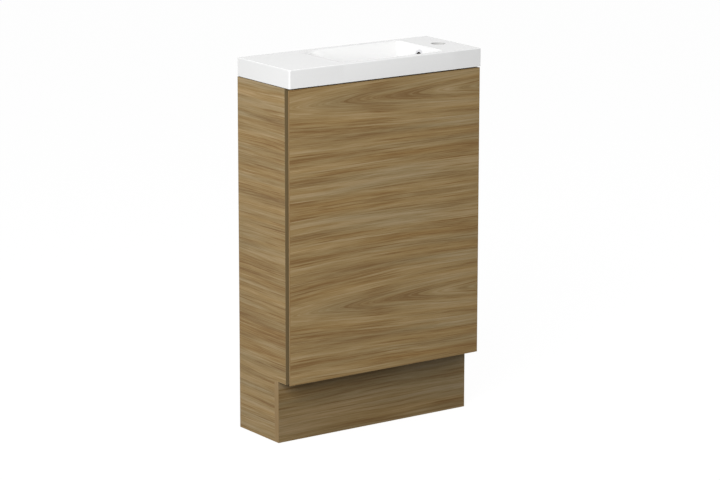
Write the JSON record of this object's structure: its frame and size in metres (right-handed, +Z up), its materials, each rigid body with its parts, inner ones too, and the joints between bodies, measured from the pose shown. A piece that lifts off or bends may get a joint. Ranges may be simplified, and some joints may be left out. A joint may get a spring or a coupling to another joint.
{
  "type": "bathroom vanity unit",
  "caption": "Slim freestanding vanity: wood-finish cabinet with a side-hung door and recessed kickboard under a white basin top with a sloping bowl.",
  "frame": {"origin": "on the floor under the middle of the basin top", "axes": "+X right, +Y towards the wall, +Z up; the door faces -Y"},
  "size_m": [0.5536, 0.22, 0.9],
  "materials": {
    "wood_board": "wood-print melamine, satin",
    "edge_band": "wood-print edge band, satin",
    "white_basin": "gloss gel coat",
    "chrome_trim": "polished",
    "bright_steel": "zinc plated",
    "hinge_steel": "nickel plated",
    "cast_zinc": "cast",
    "beech_dowel": "fluted beech",
    "block_plastic": "moulded",
    "white_plastic": "moulded",
    "black_rubber": "matte",
    "clear_bumper": "translucent",
    "sealant": "matte bead"
  },
  "bodies": {
    "cabinet": {"left_side_panel": "wood_board", "right_side_panel": "wood_board", "bottom_panel": "wood_board", "front_rail": "wood_board", "back_top_rail": "wood_board", "back_bottom_rail": "wood_board", "rear_foot_rail": "wood_board", "kickboard": "wood_board", "shelf": "wood_board", "kick_end_bands": "edge_band", "floor_edge_bands": "edge_band", "side_front_bands": "edge_band", "bottom_front_band": "edge_band", "shelf_front_band": "edge_band", "shelf_pins": "bright_steel", "carcass_dowels": "beech_dowel", "cam_locks": "cast_zinc", "cam_bolts": "bright_steel", "kick_corner_blocks": "block_plastic", "kick_block_screws": "bright_steel", "basin_sealant": "sealant", "basin_left_ledge": "white_basin", "basin_bowl": "white_basin", "basin_right_ledge": "white_basin", "overflow_ring": "chrome_trim", "basin_waste": "chrome_trim", "waste_upper_gasket": "black_rubber", "waste_lower_gasket": "black_rubber", "waste_backnut": "white_plastic", "lower_hinge_cabinet_leaf": "hinge_steel", "upper_hinge_cabinet_leaf": "hinge_steel", "hinge_pins": "bright_steel", "hinge_cabinet_screws": "bright_steel", "magnetic_catch": "block_plastic", "catch_screws": "bright_steel"},
    "door": {"door_panel": "wood_board", "door_top_band": "edge_band", "door_bottom_band": "edge_band", "door_hinge_side_band": "edge_band", "door_lip_band": "edge_band", "lower_hinge_door_leaf": "hinge_steel", "upper_hinge_door_leaf": "hinge_steel", "hinge_door_screws": "bright_steel", "catch_strike_plate": "bright_steel", "strike_plate_screw": "bright_steel", "door_buffers": "clear_bumper"},
    "plug": {"plug_cap": "chrome_trim", "plug_seal": "black_rubber", "plug_stem": "bright_steel"}
  },
  "joints": [
    {"name": "door_swing", "type": "hinge", "parent": "cabinet", "child": "door", "pos_m": [0.2765, -0.08975, 0.5], "axis": [0, 0, 1], "range_deg": [0, 170]},
    {"name": "plug_lift", "type": "slide", "parent": "cabinet", "child": "plug", "axis": [0, 0, 1], "range_m": [0, 0.008]}
  ]
}
